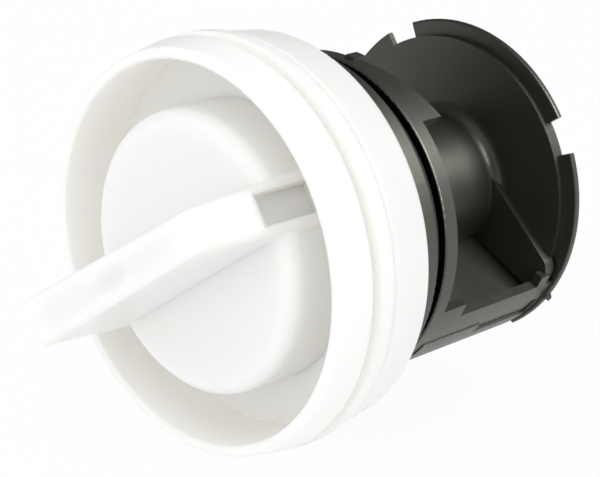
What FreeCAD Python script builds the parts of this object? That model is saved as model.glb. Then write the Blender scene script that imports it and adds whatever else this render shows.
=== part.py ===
import FreeCAD, Part
import os
import re
import Sketcher

# Drain pump filter of a washing machine: a white moulded screw cap with a bar handle across its
# recessed hub, a rubber sealing ring, and the black moulded strainer insert that plugs into the
# back of the cap. All of it turns as one about the Y axis. +Y points into the machine and +Z is up.
# The origin is on the axis, in the plane of the cap's rear rim. Lengths are in millimetres.
# Round places about the axis are angles that grow from the strainer's own zero line downwards,
# towards the mouth of its lint pocket.

SIZES = (
    ("hub_radius", 22.7, "outer radius of the cap's hub, which everything else is built out from"),
    ("hub_wall", 2.4, "wall of the hub and of its face"),
    ("hub_edge", 2.5, "rounding round the hub's face"),
    ("recess_width", 7.8, "width of the round finger recess between hub and ring"),
    ("recess_depth", 12.0, "depth of that recess behind the mouth"),
    ("floor_wall", 2.6, "floor of the recess"),
    ("cap_depth", 19.9, "from the cap's mouth to its rear rim"),
    ("groove_wall", 1.3, "wall of the ring under its wide groove"),
    ("front_belt_height", 1.6, "how far the front belt stands above the wide groove"),
    ("front_belt_width", 6.2, "from the mouth to the wide groove"),
    ("front_belt_taper", 1.2, "how much narrower the front belt is at the mouth"),
    ("lip_round", 0.9, "rounding of the mouth's outer edge"),
    ("lip_inner_round", 0.5, "rounding of the mouth's inner edge"),
    ("wide_groove_width", 1.7, "wide groove round the ring"),
    ("middle_belt_height", 1.8, "how far the middle belt stands above the wide groove"),
    ("middle_belt_width", 2.6, "width of the middle belt"),
    ("thin_groove_width", 0.9, "thin groove behind the middle belt"),
    ("thin_groove_height", 0.8, "floor of the thin groove above the wide groove's"),
    ("rear_belt_height", 1.3, "how far the rear belt stands above the wide groove"),
    ("rear_belt_taper", 1.0, "how much narrower the rear belt is at the rim"),
    ("rear_rim_round", 1.0, "rounding of the rear rim's outer edge"),
    ("belt_edge", 0.35, "rounding of the belts' edges"),
    ("handle_height", 16.5, "how far the handle stands in front of the hub's face"),
    ("handle_width", 7.0, "thickness of the handle at the middle of its front"),
    ("handle_taper", 0.85, "how much thinner one end of the handle is, and thicker the other"),
    ("handle_draft", 3.6, "slope of the handle's sides, in degrees"),
    ("handle_proud", 0.5, "how far the handle's ends stand beyond the hub's side"),
    ("handle_wall", 2.2, "wall of the hollow handle"),
    ("handle_corner", 1.2, "rounding of the handle's upright corners"),
    ("handle_edge", 0.9, "rounding round the handle's front"),
    ("handle_turn", 32.4, "turn of the handle above level, in degrees"),
    ("window_width", 5.1, "slot in the handle's ends"),
    ("window_depth", 3.0, "depth of that slot"),
    ("window_rise", 3.4, "how far the slot reaches in front of the hub's face"),
    ("window_sill", 3.0, "wall left between the slot and the recess floor"),
    ("dimple_length", 9.0, "oval dimple in the handle's front, lengthways"),
    ("dimple_width", 4.4, "the same, across"),
    ("dimple_depth", 0.6, "depth of the dimple"),
    ("dimple_shift", 0.8, "how far the dimple lies from the middle, towards the thin end"),
    ("skirt_reach", 6.0, "how far the hub's wall reaches behind the rim, into the strainer"),
    ("plug_clearance", 0.25, "gap between the hub's skirt and the strainer's bore"),
    ("rim_clearance", 0.3, "gap between the strainer's shoulder and the inside of the rim"),
    ("collar_wall", 1.4, "wall of the strainer's collar under the seal groove"),
    ("seal_groove_depth", 4.05, "depth of the seal groove"),
    ("seal_groove_width", 3.3, "width of the seal groove"),
    ("seal_cord", 2.2, "thickness of the sealing ring"),
    ("seal_stretch_gap", 0.05, "gap between the sealing ring and the groove's floor"),
    ("shoulder_step", 0.5, "how much smaller the collar is where it sits in the cap"),
    ("front_collar_width", 6.0, "guiding collar between the cap's rim and the seal groove"),
    ("collar_edge", 0.35, "rounding of the collars' edges"),
    ("rear_collar_step", 1.45, "how much smaller the rear collar is than the guiding collar"),
    ("rear_collar_width", 2.8, "rear collar, behind the seal groove"),
    ("bulkhead_wall", 2.2, "wall that closes the collar behind the cap"),
    ("strainer_lag", 7.5, "turn of the strainer's zero line behind the handle, in degrees"),
    ("chamber_length", 27.8, "from the bulkhead to the end disc"),
    ("stem_radius", 11.8, "round stem between bulkhead and end disc"),
    ("stem_wall", 2.0, "wall of the hollow stem"),
    ("stem_flare", 2.3, "rounding where the stem meets the end disc"),
    ("disc_step", 2.0, "how much smaller the end disc is than the rear collar"),
    ("disc_wall", 1.1, "thickness of the end disc"),
    ("flange_height", 2.65, "how far the notched flange stands above the end disc"),
    ("flange_width", 1.1, "thickness of the notched flange"),
    ("flange_lip", 3.4, "width of the raised lip on the back of the end disc"),
    ("flange_edge", 0.3, "rounding of the flange"),
    ("notch_angle", 13.0, "width of each notch in the flange, in degrees"),
    ("notch_start", -8.0, "where the first notch begins, in degrees"),
    ("notch_count", 4, "notches round the flange"),
    ("nub_height", 0.7, "pointed nub on the flange, still inside the guiding collar's radius"),
    ("nub_angle", 61.8, "place of the nub, in degrees"),
    ("nub_sweep", 2.0, "width of the nub, in degrees"),
    ("shell_wall", 1.6, "wall of the half-round shell that closes the lint pocket below"),
    ("shell_start", 55.0, "the shell's edge at the pocket's mouth, in degrees"),
    ("shell_sweep", 145.0, "how far the shell runs round from that edge, in degrees"),
    ("band_start", 66.5, "where the thicker band of the shell begins, in degrees"),
    ("band_height", 0.22, "how much the thicker band stands out"),
    ("patch_sweep", 9.0, "sunk patch beside the thicker band's edge, in degrees"),
    ("patch_length", 13.8, "length of the sunk patch, from the end disc"),
    ("patch_depth", 0.3, "depth of the sunk patch"),
    ("edge_pad_sweep", 5.5, "pad on the shell's edge next to the collar, in degrees"),
    ("edge_pad_length", 5.4, "length of that pad"),
    ("pocket_angle", 55.5, "direction of the lint pocket's floor, in degrees"),
    ("pocket_offset", 3.1, "distance of that floor from the axis"),
    ("pocket_wall", 1.6, "thickness of the pocket's floor and back web"),
    ("web_corner_angle", 47.5, "corner of the back web, in degrees"),
    ("web_corner_inset", 0.45, "the same corner, inwards from the rear collar's radius"),
    ("web_round", 2.4, "rounding of that corner"),
    ("block_sweep", 6.0, "small block in the web's corner, in degrees"),
    ("block_length", 1.3, "length of that block in front of the web"),
    ("ramp_start", -58.0, "foot of the locking ramp behind the rear collar, in degrees"),
    ("ramp_sweep", 38.0, "how far the ramp runs round, in degrees"),
    ("ramp_rise", 4.4, "height of the ramp at its far end"),
    ("ramp_width", 2.6, "radial width of the ramp"),
    ("lug_sweep", 4.0, "lug at the foot of the ramp, in degrees"),
    ("lug_length", 1.9, "length of the lug along the axis"),
    ("lug_height", 0.5, "how far the lug stands above the rear collar"),
    ("lug_round", 0.45, "rounding of the lug's outer edges"),
    ("lug_angle", -58.0, "where the lug begins, in degrees"),
)
NAMES = {name for name, value, meaning in SIZES}

document = FreeCAD.newDocument("pump_filter")
sheet = document.addObject("Spreadsheet::Sheet", "sizes")
for row, (name, value, meaning) in enumerate(SIZES, start=1):
    sheet.set("A%d" % row, name)
    sheet.set("B%d" % row, str(value))
    sheet.setAlias("B%d" % row, name)
    sheet.set("C%d" % row, meaning)
document.recompute()

# Places that several features share, worked out from the sizes
MOUTH = "(-cap_depth)"
HANDLE_FRONT = "(-cap_depth - handle_height)"
RECESS_FLOOR = "(recess_depth - cap_depth)"
SEAT = "(recess_depth + floor_wall - cap_depth)"
HUB_BORE = "(hub_radius - hub_wall)"
MOUTH_RADIUS = "(hub_radius + recess_width)"
GROOVE_RADIUS = "(hub_radius + recess_width + groove_wall)"
PLUG_BORE = "(hub_radius + plug_clearance)"
SEAL_FLOOR = "(hub_radius + plug_clearance + collar_wall)"
COLLAR_RADIUS = "(hub_radius + plug_clearance + collar_wall + seal_groove_depth)"
REAR_RADIUS = "(" + COLLAR_RADIUS + " - rear_collar_step)"
SEAL_FRONT = "front_collar_width"
SEAL_BACK = "(front_collar_width + seal_groove_width)"
BULKHEAD = "(" + SEAL_BACK + " + rear_collar_width)"
DISC_FRONT = "(" + BULKHEAD + " + chamber_length)"
DISC_BACK = "(" + DISC_FRONT + " + disc_wall)"
FLANGE_BACK = "(" + DISC_BACK + " + flange_width)"
DISC_RADIUS = "(" + REAR_RADIUS + " - disc_step)"
FLANGE_RADIUS = "(" + DISC_RADIUS + " + flange_height)"
SHELL_BORE = "(" + REAR_RADIUS + " - shell_wall)"
HANDLE_REACH = "(hub_radius + handle_proud)"


def bound(text):
    """The text with each size's name turned into a reference to its cell."""
    return re.sub(r"[a-z]\w*", lambda m: "sizes." + m.group() if m.group() in NAMES else m.group(), text)


def number(text):
    """The value that such a text has now."""
    return float(sheet.evalExpression(bound(text)))


def new_body(name):
    body = document.addObject("PartDesign::Body", name)
    body.Label = name
    return body


def origin_plane(body, role):
    return next(item for item in body.Origin.OriginFeatures if item.Role == role)


def new_sketch(body, name, role="XY_Plane", shift="0", turn="0"):
    """A sketch on one of the body's own planes, shifted along its normal after a turn about Y."""
    sketch = body.newObject("Sketcher::SketchObject", name)
    sketch.AttachmentSupport = [(origin_plane(body, role), "")]
    sketch.MapMode = "FlatFace"
    if turn != "0":
        sketch.AttachmentOffset = FreeCAD.Placement(
            FreeCAD.Vector(), FreeCAD.Rotation(FreeCAD.Vector(0, 1, 0), number(turn)))
        sketch.setExpression("AttachmentOffset.Rotation.Angle", bound(turn))
        sketch.setExpression("AttachmentOffset.Base.x", bound("(%s) * sin(%s)" % (shift, turn)))
        sketch.setExpression("AttachmentOffset.Base.z", bound("(%s) * cos(%s)" % (shift, turn)))
    elif shift != "0":
        sketch.setExpression("AttachmentOffset.Base.z", bound(shift))
    return sketch


def outline(sketch, corners, rounds=None):
    """A closed outline of straight edges, each corner held by its two distances from the origin.

    A corner named in rounds gets an arc of that radius, and its distances hold the sharp corner.
    """
    points = [FreeCAD.Vector(number(across), number(along), 0) for across, along in corners]
    count = len(points)
    for i in range(count):
        sketch.addGeometry(Part.LineSegment(points[i], points[(i + 1) % count]), False)
    for i in range(count):
        sketch.addConstraint(Sketcher.Constraint("Coincident", i, 2, (i + 1) % count, 1))
    held_by = {i: i for i in range(count)}
    for i, radius in (rounds or {}).items():
        sketch.fillet(i - 1, i, points[i - 1], points[i + 1], number(radius), True, True)
        arc, held_by[i] = sketch.GeometryCount - 2, sketch.GeometryCount - 1
        index = sketch.addConstraint(Sketcher.Constraint("Radius", arc, number(radius)))
        sketch.setExpression("Constraints[%d]" % index, bound(radius))
    for i, texts in enumerate(corners):
        for kind, text in zip(("DistanceX", "DistanceY"), texts):
            index = sketch.addConstraint(Sketcher.Constraint(kind, -1, 1, held_by[i], 1, number(text)))
            sketch.setExpression("Constraints[%d]" % index, bound(text))


def circle(sketch, radius, across, along):
    centre = FreeCAD.Vector(number(across), number(along), 0)
    index = sketch.addGeometry(Part.Circle(centre, FreeCAD.Vector(0, 0, 1), number(radius)), False)
    for kind, text in (("DistanceX", across), ("DistanceY", along)):
        held = sketch.addConstraint(Sketcher.Constraint(kind, -1, 1, index, 3, number(text)))
        sketch.setExpression("Constraints[%d]" % held, bound(text))
    held = sketch.addConstraint(Sketcher.Constraint("Radius", index, number(radius)))
    sketch.setExpression("Constraints[%d]" % held, bound(radius))


def settle(body, feature, adds):
    """Rebuilds the body and makes sure that the feature changed its volume the right way."""
    before = feature.BaseFeature.Shape.Volume if feature.BaseFeature else 0.0
    document.recompute()
    gained = feature.Shape.Volume - before
    if gained * (1 if adds else -1) <= 0:
        raise RuntimeError("%s in %s changes nothing: %.3f" % (feature.Name, body.Label, gained))
    return feature


def revolve(body, name, sketch, sweep="360", cut=False):
    feature = body.newObject("PartDesign::Groove" if cut else "PartDesign::Revolution", name)
    feature.Profile = sketch
    feature.ReferenceAxis = (sketch, ["V_Axis"])
    feature.setExpression("Angle", bound(sweep))
    return settle(body, feature, not cut)


def sector(body, name, start, sweep, corners, cut=False, rounds=None):
    """Material, or a cut, that runs round the axis from one angle through another."""
    sketch = new_sketch(body, name + "_section", turn=start)
    outline(sketch, corners, rounds)
    return revolve(body, name, sketch, sweep, cut)


def box_section(inner, outer, front, back):
    """The corners of a section that runs from one radius and place to another."""
    return ((inner, front), (outer, front), (outer, back), (inner, back))


def pad(body, name, sketch, length, both_ways=False, backwards=False):
    feature = body.newObject("PartDesign::Pad", name)
    feature.Profile = sketch
    feature.setExpression("Length", bound(length))
    feature.SideType = "Symmetric" if both_ways else "One side"
    feature.Reversed = backwards
    return settle(body, feature, True)


def pocket(body, name, sketch, length, both_ways=False, backwards=False):
    feature = body.newObject("PartDesign::Pocket", name)
    feature.Profile = sketch
    feature.setExpression("Length", bound(length))
    feature.SideType = "Symmetric" if both_ways else "One side"
    feature.Reversed = backwards
    return settle(body, feature, False)


def soften(body, name, radius, wanted):
    """Rounds the edges of the body's last feature that the test picks."""
    base = body.Tip
    edges = ["Edge%d" % (i + 1) for i, edge in enumerate(base.Shape.Edges) if wanted(edge)]
    if not edges:
        raise RuntimeError("%s finds no edge" % name)
    feature = body.newObject("PartDesign::Fillet", name)
    feature.Base = (base, edges)
    feature.setExpression("Radius", bound(radius))
    document.recompute()
    return feature


def ring_edges(*places):
    """A test for round edges about the axis at any of the given radii and places."""
    wanted = [(number(radius), number(along)) for radius, along in places]

    def test(edge):
        if not isinstance(edge.Curve, Part.Circle):
            return False
        found = (edge.Curve.Radius, edge.Curve.Center.y)
        return any(abs(found[0] - r) < 1e-4 and abs(found[1] - y) < 1e-4 for r, y in wanted)

    return test


def turn_body(body, angle):
    """Turns the finished body about the axis, so that larger angles stand higher on the right."""
    body.Placement = FreeCAD.Placement(
        FreeCAD.Vector(), FreeCAD.Rotation(FreeCAD.Vector(0, 1, 0), -number(angle)))
    body.setExpression("Placement.Rotation.Angle", bound("-(%s)" % angle))


def trim_handle(body, name, side):
    """Cuts one side of the handle bar to its slope and its taper; side is 1 above and -1 below."""
    sketch = new_sketch(body, name + "_section", "YZ_Plane")
    lean = "(%d * atan(handle_taper / 2 / %s))" % (side, HANDLE_REACH)
    sketch.AttachmentOffset = FreeCAD.Placement(
        FreeCAD.Vector(), FreeCAD.Rotation(FreeCAD.Vector(1, 0, 0), number(lean)))
    sketch.setExpression("AttachmentOffset.Rotation.Angle", bound(lean))
    outside = "(%d * 3 * handle_width)" % side
    outline(sketch, (
        (HANDLE_FRONT, "(%d * handle_width / 2)" % side),
        ("0", "(%d * (handle_width / 2 - %s * tan(handle_draft)))" % (side, HANDLE_FRONT)),
        ("0", outside),
        (HANDLE_FRONT, outside),
    ))
    pocket(body, name, sketch, "4 * " + HANDLE_REACH, both_ways=True)


def make_cap():
    """Cap: belted outer ring, recess floor and hollow hub as one revolved wall, then the handle."""
    cap = new_body("cap")
    front_belt = "(" + GROOVE_RADIUS + " + front_belt_height)"
    middle_belt = "(" + GROOVE_RADIUS + " + middle_belt_height)"
    rear_belt = "(" + GROOVE_RADIUS + " + rear_belt_height)"
    rear_rim = "(" + rear_belt + " - rear_belt_taper)"
    lip = "(" + front_belt + " - front_belt_taper)"
    thin_floor = "(" + GROOVE_RADIUS + " + thin_groove_height)"
    wide_from = "(front_belt_width - cap_depth)"
    wide_to = "(front_belt_width + wide_groove_width - cap_depth)"
    thin_from = "(front_belt_width + wide_groove_width + middle_belt_width - cap_depth)"
    thin_to = "(" + thin_from + " + thin_groove_width)"
    rim_bore = "(" + COLLAR_RADIUS + " - shoulder_step + rim_clearance)"

    foot = "(" + RECESS_FLOOR + " + floor_wall / 2)"
    bar = new_sketch(cap, "handle_section", "YZ_Plane")
    outline(bar, box_section(HANDLE_FRONT, foot, "-handle_width", "handle_width"))
    pad(cap, "handle", bar, "2 * " + HANDLE_REACH, both_ways=True)
    trim_handle(cap, "handle_top", 1)
    trim_handle(cap, "handle_underside", -1)
    reach = number(HANDLE_REACH)
    front = number(HANDLE_FRONT)

    def corner_edge(edge):
        ends = [vertex.Point for vertex in edge.Vertexes]
        upright = len(ends) == 2 and abs(ends[0].y - ends[1].y) > 0.1
        return upright and all(abs(abs(point.x) - reach) < 1e-4 for point in ends)

    def front_edge(edge):
        return all(abs(vertex.Point.y - front) < 1e-4 for vertex in edge.Vertexes)

    soften(cap, "handle_corners", "handle_corner", corner_edge)
    soften(cap, "handle_front_edge", "handle_edge", front_edge)

    wall = new_sketch(cap, "wall_section")
    outline(wall, (
        ("0", MOUTH),
        ("hub_radius", MOUTH),
        ("hub_radius", RECESS_FLOOR),
        (MOUTH_RADIUS, RECESS_FLOOR),
        (MOUTH_RADIUS, MOUTH),
        (lip, MOUTH),
        (front_belt, wide_from),
        (GROOVE_RADIUS, wide_from),
        (GROOVE_RADIUS, wide_to),
        (middle_belt, wide_to),
        (middle_belt, thin_from),
        (thin_floor, thin_from),
        (thin_floor, thin_to),
        (rear_belt, thin_to),
        (rear_rim, "0"),
        (rim_bore, "0"),
        (rim_bore, SEAT),
        ("hub_radius", SEAT),
        ("hub_radius", "skirt_reach"),
        (HUB_BORE, "skirt_reach"),
        (HUB_BORE, "(hub_wall - cap_depth)"),
        ("0", "(hub_wall - cap_depth)"),
    ), rounds={
        1: "hub_edge",
        4: "lip_inner_round",
        5: "lip_round",
        6: "belt_edge",
        9: "belt_edge",
        10: "belt_edge",
        13: "belt_edge",
        14: "rear_rim_round",
    })
    revolve(cap, "wall", wall)

    core_front = "(" + HANDLE_FRONT + " + handle_wall)"
    core_half = "(handle_width / 2 - handle_wall + handle_wall * tan(handle_draft))"
    core_foot_half = ("(handle_width / 2 - handle_wall + (" + SEAT + " - " + HANDLE_FRONT
                      + ") * tan(handle_draft))")
    core = new_sketch(cap, "handle_core_section", "YZ_Plane")
    outline(core, (
        (core_front, "-" + core_half),
        (SEAT, "-" + core_foot_half),
        (SEAT, core_foot_half),
        (core_front, core_half),
    ))
    pocket(cap, "handle_core", core, "2 * (" + HANDLE_REACH + " - window_depth - handle_wall)", both_ways=True)

    slot_front = "(" + MOUTH + " - window_rise)"
    slot_back = "(" + RECESS_FLOOR + " - window_sill)"
    for name, shift in (("thin_end", HANDLE_REACH), ("thick_end", "(-" + HANDLE_REACH + ")")):
        slot = new_sketch(cap, name + "_window_section", "YZ_Plane", shift=shift)
        outline(slot, (
            (slot_front, "-window_width / 2"),
            (slot_back, "-window_width / 2"),
            (slot_back, "window_width / 2"),
            (slot_front, "window_width / 2"),
        ))
        pocket(cap, name + "_window", slot, "window_depth", backwards=name == "thick_end")

    # The dimple is the tip of an egg whose centre lies one depth in front of the handle
    dimple = cap.newObject("PartDesign::SubtractiveEllipsoid", "handle_dimple")
    dimple.AttachmentSupport = [(origin_plane(cap, "XZ_Plane"), "")]
    dimple.MapMode = "FlatFace"
    dimple.setExpression("AttachmentOffset.Base.x", bound("dimple_shift"))
    dimple.setExpression("AttachmentOffset.Base.z", bound("dimple_depth - " + HANDLE_FRONT))
    dimple.setExpression("Radius1", bound("2 * dimple_depth"))
    dimple.setExpression("Radius2", bound("dimple_length / 2 / cos(30)"))
    dimple.setExpression("Radius3", bound("dimple_width / 2 / cos(30)"))
    settle(cap, dimple, False)
    turn_body(cap, "handle_turn")
    return cap


def make_sealing_ring():
    """Sealing ring: a round rubber cord that sits on the floor of the strainer's groove."""
    ring = new_body("sealing_ring")
    section = new_sketch(ring, "cord_section")
    circle(section, "seal_cord / 2", "(" + SEAL_FLOOR + " + seal_stretch_gap + seal_cord / 2)",
           "(" + SEAL_FRONT + " + seal_groove_width / 2)")
    revolve(ring, "cord", section)
    return ring


def polar(radius, angle):
    """A point of the cross plane at a radius and an angle."""
    return ("(%s) * cos(%s)" % (radius, angle), "-(%s) * sin(%s)" % (radius, angle))


def make_strainer():
    """Strainer insert: locking ramp, collars, stem and end disc, then the lint pocket and shell."""
    strainer = new_body("strainer_insert")

    # The ramp is a stretch of ring whose back is sliced off at a slope
    ramp_inner = "(" + REAR_RADIUS + " - ramp_width)"
    sector(strainer, "ramp", "ramp_start", "ramp_sweep", box_section(
        ramp_inner, REAR_RADIUS, "(" + BULKHEAD + " - bulkhead_wall / 2)", "(" + BULKHEAD + " + ramp_rise)"))
    half_chord = "(" + REAR_RADIUS + " * sin(ramp_sweep / 2))"
    slope = new_sketch(strainer, "ramp_slope_section", turn="(ramp_start + ramp_sweep / 2 + 90)")
    outline(slope, (
        ("-" + half_chord, BULKHEAD),
        (half_chord, "(" + BULKHEAD + " + ramp_rise)"),
        (half_chord, "(" + BULKHEAD + " + 2 * ramp_rise)"),
        ("-2 * " + half_chord, "(" + BULKHEAD + " + 2 * ramp_rise)"),
        ("-2 * " + half_chord, BULKHEAD),
    ))
    pocket(strainer, "ramp_slope", slope, "3 * " + REAR_RADIUS, both_ways=True)

    section = new_sketch(strainer, "spine_section")
    shoulder = "(" + COLLAR_RADIUS + " - shoulder_step)"
    outline(section, (
        (PLUG_BORE, SEAT),
        (shoulder, SEAT),
        (shoulder, "0"),
        (COLLAR_RADIUS, "0"),
        (COLLAR_RADIUS, SEAL_FRONT),
        (SEAL_FLOOR, SEAL_FRONT),
        (SEAL_FLOOR, SEAL_BACK),
        (REAR_RADIUS, SEAL_BACK),
        (REAR_RADIUS, BULKHEAD),
        ("stem_radius", BULKHEAD),
        ("stem_radius", DISC_FRONT),
        (DISC_RADIUS, DISC_FRONT),
        (DISC_RADIUS, DISC_BACK),
        (FLANGE_RADIUS, DISC_BACK),
        (FLANGE_RADIUS, FLANGE_BACK),
        ("(" + FLANGE_RADIUS + " - flange_lip)", FLANGE_BACK),
        ("(" + FLANGE_RADIUS + " - flange_lip)", DISC_BACK),
        ("0", DISC_BACK),
        ("0", DISC_FRONT),
        ("(stem_radius - stem_wall)", DISC_FRONT),
        ("(stem_radius - stem_wall)", "(" + BULKHEAD + " - bulkhead_wall)"),
        (PLUG_BORE, "(" + BULKHEAD + " - bulkhead_wall)"),
    ))
    revolve(strainer, "spine", section)
    soften(strainer, "collar_edges", "collar_edge", ring_edges(
        (COLLAR_RADIUS, SEAL_FRONT), (REAR_RADIUS, SEAL_BACK)))
    soften(strainer, "flange_edges", "flange_edge", ring_edges(
        (FLANGE_RADIUS, DISC_BACK), (FLANGE_RADIUS, FLANGE_BACK)))
    soften(strainer, "stem_root", "stem_flare", ring_edges(("stem_radius", DISC_FRONT)))

    into_bulkhead = "(" + BULKHEAD + " - bulkhead_wall / 2)"
    into_disc = "(" + DISC_FRONT + " + disc_wall / 2)"
    web = new_sketch(strainer, "back_web_outline", "XZ_Plane", shift="-" + into_disc)
    into_stem = "(stem_radius - stem_wall / 2)"
    outline(web, (
        polar(into_stem, "0"),
        polar("(" + REAR_RADIUS + " - web_corner_inset)", "web_corner_angle"),
        polar("(" + REAR_RADIUS + " - shell_wall / 3)", "shell_start"),
        polar("(" + REAR_RADIUS + " - shell_wall / 2)", "(shell_start + edge_pad_sweep)"),
        polar(into_stem, "(pocket_angle + edge_pad_sweep * 3)"),
    ), rounds={1: "web_round"})
    pad(strainer, "back_web", web, "(pocket_wall + disc_wall / 2)")
    into_flange = "(" + DISC_BACK + " + flange_width / 2)"
    sector(strainer, "shell", "shell_start", "shell_sweep",
           box_section(SHELL_BORE, REAR_RADIUS, into_bulkhead, into_flange))
    band_sweep = "(shell_start + shell_sweep - band_start)"
    sector(strainer, "shell_band", "band_start", band_sweep, box_section(
        SHELL_BORE, "(" + REAR_RADIUS + " + band_height)", BULKHEAD, DISC_FRONT))
    sector(strainer, "sunk_patch", "(band_start - patch_sweep / 3)", "patch_sweep", box_section(
        "(" + REAR_RADIUS + " - patch_depth)", "(" + REAR_RADIUS + " + 2 * band_height)",
        "(" + DISC_FRONT + " - patch_length)", DISC_FRONT), cut=True)
    sector(strainer, "edge_pad", "(shell_start - edge_pad_sweep)", "(2 * edge_pad_sweep)", box_section(
        SHELL_BORE, REAR_RADIUS, into_bulkhead, "(" + BULKHEAD + " + edge_pad_length)"))

    floor = new_sketch(strainer, "pocket_floor_section", shift="(-pocket_offset - pocket_wall)",
                       turn="pocket_angle")
    outline(floor, box_section("(stem_radius - stem_wall)", "(" + REAR_RADIUS + " - shell_wall / 2)",
                               into_bulkhead, into_disc))
    pad(strainer, "pocket_floor", floor, "pocket_wall")
    sector(strainer, "web_block", "(web_corner_angle + block_sweep / 2)", "block_sweep", box_section(
        SHELL_BORE, REAR_RADIUS, "(" + DISC_FRONT + " - pocket_wall - block_length)",
        "(" + DISC_FRONT + " - pocket_wall / 2)"))

    sector(strainer, "lug", "lug_angle", "lug_sweep", box_section(
        ramp_inner, "(" + REAR_RADIUS + " + lug_height)", into_bulkhead, "(" + BULKHEAD + " + lug_length)"),
        rounds={1: "lug_round", 2: "lug_round"})
    strainer_notch = sector(strainer, "notch", "notch_start", "notch_angle", box_section(
        DISC_RADIUS, "(" + FLANGE_RADIUS + " + flange_height)", "(" + DISC_BACK + " - disc_wall / 4)",
        "(" + FLANGE_BACK + " + flange_width)"), cut=True)
    notches = strainer.newObject("PartDesign::PolarPattern", "notches")
    notches.Originals = [strainer_notch]
    notches.Axis = (origin_plane(strainer, "Y_Axis"), [""])
    notches.Angle = 360
    notches.setExpression("Occurrences", bound("notch_count"))
    strainer.Tip = notches
    document.recompute()

    sector(strainer, "nub", "(nub_angle - nub_sweep / 2)", "nub_sweep", (
        ("(" + FLANGE_RADIUS + " - flange_height)", DISC_BACK),
        (FLANGE_RADIUS, DISC_BACK),
        ("(" + FLANGE_RADIUS + " + nub_height)", "(" + DISC_BACK + " + flange_width / 2)"),
        (FLANGE_RADIUS, FLANGE_BACK),
        ("(" + FLANGE_RADIUS + " - flange_height)", FLANGE_BACK),
    ))
    turn_body(strainer, "(handle_turn - strainer_lag)")
    return strainer


bodies = [make_cap(), make_sealing_ring(), make_strainer()]
document.recompute()
for item in document.Objects:
    if "Invalid" in item.State or "Error" in item.State:
        raise RuntimeError("%s is not built: %s" % (item.Name, item.State))

os.makedirs("parts", exist_ok=True)
for body in bodies:
    shape = body.Shape
    if shape.isNull() or not shape.isValid() or len(shape.Solids) != 1:
        raise RuntimeError("%s is not one sound solid" % body.Label)
    shape.exportStep(os.path.join("parts", body.Label + ".step"))
    print("%s: %.1f mm3" % (body.Label, shape.Volume))
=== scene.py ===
import math

import bpy
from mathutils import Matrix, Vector


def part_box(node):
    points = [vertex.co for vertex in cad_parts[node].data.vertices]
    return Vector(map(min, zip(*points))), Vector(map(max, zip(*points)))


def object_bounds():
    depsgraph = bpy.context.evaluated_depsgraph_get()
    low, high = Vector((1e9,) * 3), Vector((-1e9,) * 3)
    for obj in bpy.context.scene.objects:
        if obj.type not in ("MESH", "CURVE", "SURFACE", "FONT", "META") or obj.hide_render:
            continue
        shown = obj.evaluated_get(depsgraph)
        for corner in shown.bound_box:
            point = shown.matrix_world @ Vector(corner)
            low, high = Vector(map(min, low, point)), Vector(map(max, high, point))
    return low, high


# Studio picture of a washing machine's drain pump filter: white screw cap in front, black rubber
# sealing ring, and black strainer insert behind. Its axis runs along +Y, with the cap towards -Y.

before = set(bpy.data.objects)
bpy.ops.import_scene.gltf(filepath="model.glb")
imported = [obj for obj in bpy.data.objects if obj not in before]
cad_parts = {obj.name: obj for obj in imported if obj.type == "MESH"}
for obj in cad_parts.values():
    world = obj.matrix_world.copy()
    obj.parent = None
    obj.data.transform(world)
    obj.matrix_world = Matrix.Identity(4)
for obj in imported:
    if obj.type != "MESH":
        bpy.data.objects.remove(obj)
cad_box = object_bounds()

MM = 0.001

# The mouth of the cap along the axis: the handle stands this far in front of it
HANDLE_HEIGHT = 16.5 * MM
MOUTH_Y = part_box("cap")[0][1] + HANDLE_HEIGHT

# Where shade is painted on the strainer insert: the groove with the sealing ring in its middle,
# half its width and a little more, and how far its walls reach out from the axis
RING_FRONT, RING_BACK = (corner[1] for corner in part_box("sealing_ring"))
SEAT_MIDDLE = (RING_FRONT + RING_BACK) / 2
SEAT_HALF_WIDTH = 1.7 * MM
SEAT_RADIUS = 28.15 * MM

# The white room: its even light, and the share that its upper part loses in gloss. The loss begins at
# the first height on the unit sphere of the sky and is complete at the second.
ROOM_LIGHT = 0.9
GLOSS_LOSS = 0.85
LOSS_BEGINS = -0.4
LOSS_COMPLETE = 0.1

# The sheet of paper under the cap: half its side, how far it lies below the cap, and the share of its
# white that comes from within, for the light that it throws back and to the eye. What is left of it
# to the eye shows a faint shadow.
FLOOR_HALF = 1.5
FLOOR_GAP = 0.05 * MM
PAPER_GLOW_LIGHT = 0.48
PAPER_GLOW_SEEN = 0.96

# Softboxes: name, place in metres, size in metres and power in watts
SOFTBOXES = (
    ("key_softbox", (0.22, -0.28, 0.66), 0.5, 0.5),
    ("front_fill", (0.22, -0.66, 0.25), 0.6, 0.88),
    ("side_strip", (0.66, 0.22, 0.05), 0.25, 0.3),
)
# A strip that lights in gloss alone, so that the black stem gets its soft highlight
GLOSS_STRIP = ("gloss_strip", (0.44, 0.17, 0.39), 0.25, 7.0)

# The photograph's camera: its place from the mouth of the cap, where it looks, lens and sensor in mm
CAMERA_FROM_MOUTH = Vector((219.0, -193.2, 98.8)) * MM
CAMERA_SIGHT = Vector((-0.6741, 0.6691, -0.3127))
LENS = 120.0
SENSOR_WIDTH = 36.0


def linear(code):
    """A colour written as an sRGB hex value, turned to linear red, green, blue and alpha."""
    channels = [int(code[i:i + 2], 16) / 255 for i in (1, 3, 5)]
    return [c / 12.92 if c <= 0.04045 else ((c + 0.055) / 1.055) ** 2.4 for c in channels] + [1.0]


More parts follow.
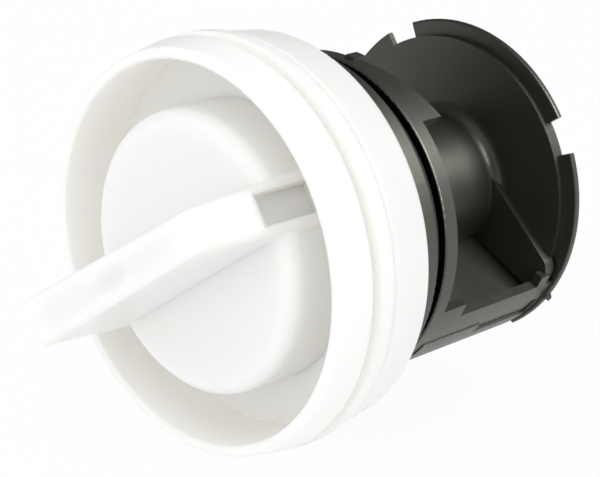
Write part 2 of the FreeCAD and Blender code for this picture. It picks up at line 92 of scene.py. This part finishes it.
def add_node(tree, kind, settings=None, links=None):
    """Adds a node, sets its properties and sockets, and links its inputs from other nodes' outputs."""
    node = tree.nodes.new(kind)
    for name, value in (settings or {}).items():
        if isinstance(name, str) and hasattr(node, name):
            setattr(node, name, value)
        else:
            node.inputs[name].default_value = value
    for name, (source, output) in (links or {}).items():
        tree.links.new(source.outputs[output], node.inputs[name])
    return node


def new_material(name):
    """An empty node material and its tree."""
    material = bpy.data.materials.new(name)
    material.use_nodes = True
    material.node_tree.nodes.clear()
    return material, material.node_tree


def moulded_white_polypropylene():
    """Moulded polypropylene, white and translucent: light seeps through the walls, so shade stays pale."""
    material, tree = new_material("moulded_white_polypropylene")
    flow_width = 9.0 * MM
    grain_width = 0.35 * MM
    place = add_node(tree, "ShaderNodeTexCoord")
    flow = add_node(tree, "ShaderNodeTexNoise",
                    {"Scale": 1 / flow_width, "Detail": 2.0, "Roughness": 0.5},
                    {"Vector": (place, "Object")})
    colour = add_node(tree, "ShaderNodeMix",
                      {"data_type": "RGBA", "A": linear("#FDFBF6"), "B": linear("#FBF9F3")},
                      {"Factor": (flow, "Fac")})
    gloss = add_node(tree, "ShaderNodeMapRange",
                     {"To Min": 0.30, "To Max": 0.38}, {"Value": (flow, "Fac")})
    grain = add_node(tree, "ShaderNodeTexNoise",
                     {"Scale": 1 / grain_width, "Detail": 1.0}, {"Vector": (place, "Object")})
    bump = add_node(tree, "ShaderNodeBump",
                    {"Strength": 0.04, "Distance": 0.02 * MM}, {"Height": (grain, "Fac")})
    plastic = add_node(tree, "ShaderNodeBsdfPrincipled",
                       {"IOR": 1.49, "Subsurface Weight": 1.0, "Subsurface Scale": 3.0 * MM,
                        "Subsurface Radius": (1.0, 0.95, 0.82)},
                       {"Base Color": (colour, "Result"), "Roughness": (gloss, "Result"),
                        "Normal": (bump, "Normal")})
    add_node(tree, "ShaderNodeOutputMaterial", links={"Surface": (plastic, "BSDF")})
    return material


def seal_seat_shade_mask(tree, place):
    """Mask for painted shade: one in the groove that the sealing ring sits in, and zero elsewhere on the
    strainer insert.
    """
    apart = add_node(tree, "ShaderNodeSeparateXYZ", links={"Vector": (place, "Object")})
    across = add_node(tree, "ShaderNodeCombineXYZ", links={"X": (apart, "X"), "Y": (apart, "Z")})
    radius = add_node(tree, "ShaderNodeVectorMath",
                      {"operation": "LENGTH"}, {"Vector": (across, "Vector")})
    inside = add_node(tree, "ShaderNodeMath",
                      {"operation": "LESS_THAN", 1: SEAT_RADIUS}, {0: (radius, "Value")})
    along = add_node(tree, "ShaderNodeMath",
                     {"operation": "COMPARE", 1: SEAT_MIDDLE, 2: SEAT_HALF_WIDTH}, {0: (apart, "Y")})
    return add_node(tree, "ShaderNodeMath",
                    {"operation": "MULTIPLY"}, {0: (inside, "Value"), 1: (along, "Value")})


def moulded_black_polypropylene():
    """Moulded polypropylene, black with an olive cast: soft gloss, fine grain, lines from the mould, and
    painted shade in the seal's seat.
    """
    material, tree = new_material("moulded_black_polypropylene")
    cloud_width = 7.0 * MM
    grain_width = 0.3 * MM
    line_spacing = 0.6 * MM
    line_depth = 0.12
    place = add_node(tree, "ShaderNodeTexCoord")
    cloud = add_node(tree, "ShaderNodeTexNoise",
                     {"Scale": 1 / cloud_width, "Detail": 3.0}, {"Vector": (place, "Object")})
    skin_colour = add_node(tree, "ShaderNodeMix",
                           {"data_type": "RGBA", "A": linear("#12150E"), "B": linear("#1A1D14")},
                           {"Factor": (cloud, "Fac")})
    skin_gloss = add_node(tree, "ShaderNodeMapRange",
                          {"To Min": 0.38, "To Max": 0.48}, {"Value": (cloud, "Fac")})
    # Relief: grain, with the mould's lines around the axis at a share of its depth. The wave node
    # repeats its bands every tau / 20 at a scale of one.
    grain = add_node(tree, "ShaderNodeTexNoise",
                     {"Scale": 1 / grain_width, "Detail": 2.0}, {"Vector": (place, "Object")})
    lines = add_node(tree, "ShaderNodeTexWave",
                     {"wave_type": "BANDS", "bands_direction": "Y",
                      "Scale": math.tau / (20 * line_spacing), "Distortion": 0.4},
                     {"Vector": (place, "Object")})
    relief = add_node(tree, "ShaderNodeMath",
                      {"operation": "MULTIPLY_ADD", 1: line_depth}, {0: (lines, "Fac"), 2: (grain, "Fac")})
    bump = add_node(tree, "ShaderNodeBump",
                    {"Strength": 0.45, "Distance": 0.03 * MM}, {"Height": (relief, "Value")})
    # Painted shade: in the seal's seat the insert is coloured almost black, and its gloss and reflection
    # are taken away, so that the groove shows one dark band that is wider than the sealing ring
    painted_seat_shade = seal_seat_shade_mask(tree, place)
    colour = add_node(tree, "ShaderNodeMix", {"data_type": "RGBA", "B": linear("#060705")},
                      {"Factor": (painted_seat_shade, "Value"), "A": (skin_colour, "Result")})
    tint = add_node(tree, "ShaderNodeMix",
                    {"data_type": "RGBA", "A": linear("#FDFFF0"), "B": linear("#000000")},
                    {"Factor": (painted_seat_shade, "Value")})
    gloss = add_node(tree, "ShaderNodeMix", {"data_type": "FLOAT", "B": 0.8},
                     {"Factor": (painted_seat_shade, "Value"), "A": (skin_gloss, "Result")})
    plastic = add_node(tree, "ShaderNodeBsdfPrincipled", {"IOR": 1.6, "Specular IOR Level": 0.75},
                       {"Base Color": (colour, "Result"), "Specular Tint": (tint, "Result"),
                        "Roughness": (gloss, "Result"), "Normal": (bump, "Normal")})
    add_node(tree, "ShaderNodeOutputMaterial", links={"Surface": (plastic, "BSDF")})
    return material


def moulded_black_rubber():
    """Moulded rubber: near black, with a soft dull sheen."""
    material, tree = new_material("moulded_black_rubber")
    bloom_width = 3.0 * MM
    place = add_node(tree, "ShaderNodeTexCoord")
    bloom = add_node(tree, "ShaderNodeTexNoise",
                     {"Scale": 1 / bloom_width, "Detail": 3.0}, {"Vector": (place, "Object")})
    colour = add_node(tree, "ShaderNodeMix",
                      {"data_type": "RGBA", "A": linear("#080907"), "B": linear("#0E0F0C")},
                      {"Factor": (bloom, "Fac")})
    gloss = add_node(tree, "ShaderNodeMapRange",
                     {"To Min": 0.6, "To Max": 0.72}, {"Value": (bloom, "Fac")})
    rubber = add_node(tree, "ShaderNodeBsdfPrincipled", {"IOR": 1.45},
                      {"Base Color": (colour, "Result"), "Roughness": (gloss, "Result")})
    add_node(tree, "ShaderNodeOutputMaterial", links={"Surface": (rubber, "BSDF")})
    return material


def dress(node_name, material):
    """Gives a CAD node its material in every slot."""
    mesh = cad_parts[node_name].data
    if not mesh.materials:
        mesh.materials.append(material)
    for i in range(len(mesh.materials)):
        mesh.materials[i] = material


def seen_directly(tree):
    """One for rays from the eye, from gloss and through clear things, zero for light; and their node."""
    path = add_node(tree, "ShaderNodeLightPath")
    eye_or_gloss = add_node(tree, "ShaderNodeMath", {"operation": "MAXIMUM"},
                            {0: (path, "Is Camera Ray"), 1: (path, "Is Glossy Ray")})
    seen = add_node(tree, "ShaderNodeMath", {"operation": "MAXIMUM"},
                    {0: (eye_or_gloss, "Value"), 1: (path, "Is Transmission Ray")})
    return seen, path


def white_paper():
    """Matt white paper: looks white to the eye and in reflections, and keeps a faint soft shadow."""
    material, tree = new_material("white_paper")
    seen, _ = seen_directly(tree)
    share = add_node(tree, "ShaderNodeMapRange",
                     {"To Min": PAPER_GLOW_LIGHT, "To Max": PAPER_GLOW_SEEN}, {"Value": (seen, "Value")})
    paper = add_node(tree, "ShaderNodeBsdfDiffuse", {"Color": linear("#F2F2F2")})
    glow = add_node(tree, "ShaderNodeEmission", {"Color": linear("#FFFFFF"), "Strength": 1.0})
    surface = add_node(tree, "ShaderNodeMixShader",
                       links={0: (share, "Result"), 1: (paper, "BSDF"), 2: (glow, "Emission")})
    add_node(tree, "ShaderNodeOutputMaterial", links={"Surface": (surface, "Shader")})
    return material


def make_floor():
    """Floor: a large flat sheet of white paper that the cap's belts rest on."""
    level = cad_box[0][2] - FLOOR_GAP
    corners = ((-1, -1), (1, -1), (1, 1), (-1, 1))
    mesh = bpy.data.meshes.new("floor")
    mesh.from_pydata([(x * FLOOR_HALF, y * FLOOR_HALF, level) for x, y in corners], [], [(0, 1, 2, 3)])
    mesh.materials.append(white_paper())
    floor = bpy.data.objects.new("floor", mesh)
    bpy.context.scene.collection.objects.link(floor)


def make_world():
    """A white room: even light from all sides, plain white to the eye, and darker above in gloss."""
    world = bpy.data.worlds.new("white_room")
    bpy.context.scene.world = world
    world.use_nodes = True
    tree = world.node_tree
    tree.nodes.clear()
    seen, path = seen_directly(tree)
    strength = add_node(tree, "ShaderNodeMapRange",
                        {"To Min": ROOM_LIGHT, "To Max": 1.0}, {"Value": (seen, "Value")})
    place = add_node(tree, "ShaderNodeTexCoord")
    height = add_node(tree, "ShaderNodeSeparateXYZ", links={"Vector": (place, "Generated")})
    loss = add_node(tree, "ShaderNodeMapRange",
                    {"From Min": LOSS_BEGINS, "From Max": LOSS_COMPLETE, "To Min": 0.0, "To Max": GLOSS_LOSS},
                    {"Value": (height, "Z")})
    loss_in_gloss = add_node(tree, "ShaderNodeMath", {"operation": "MULTIPLY"},
                             {0: (loss, "Result"), 1: (path, "Is Glossy Ray")})
    level = add_node(tree, "ShaderNodeMath", {"operation": "SUBTRACT"},
                     {0: (strength, "Result"), 1: (loss_in_gloss, "Value")})
    room = add_node(tree, "ShaderNodeBackground",
                    {"Color": linear("#FFFFFF")}, {"Strength": (level, "Value")})
    add_node(tree, "ShaderNodeOutputWorld", links={"Surface": (room, "Background")})


def make_softbox(name, place, size, watts):
    """A square area lamp that points at the origin and isn't seen itself."""
    lamp = bpy.data.lights.new(name, "AREA")
    lamp.shape = "SQUARE"
    lamp.size = size
    lamp.energy = watts
    box = bpy.data.objects.new(name, lamp)
    bpy.context.scene.collection.objects.link(box)
    box.location = place
    box.rotation_euler = (-Vector(place)).to_track_quat("-Z", "Y").to_euler()
    box.visible_camera = False
    return box


def make_camera():
    """The camera of the photograph: in front, to the right and a little above, with a long lens."""
    data = bpy.data.cameras.new("camera")
    data.sensor_fit = "HORIZONTAL"
    data.sensor_width = SENSOR_WIDTH
    data.lens = LENS
    data.clip_start = 10 * MM
    camera = bpy.data.objects.new("camera", data)
    bpy.context.scene.collection.objects.link(camera)
    camera.location = CAMERA_FROM_MOUTH + Vector((0, MOUTH_Y, 0))
    camera.rotation_euler = CAMERA_SIGHT.to_track_quat("-Z", "Y").to_euler()
    bpy.context.scene.camera = camera


dress("cap", moulded_white_polypropylene())
dress("strainer_insert", moulded_black_polypropylene())
dress("sealing_ring", moulded_black_rubber())

make_floor()
make_world()
for softbox in SOFTBOXES:
    make_softbox(*softbox)
make_softbox(*GLOSS_STRIP).visible_diffuse = False
make_camera()
bpy.context.scene.view_settings.view_transform = "Standard"
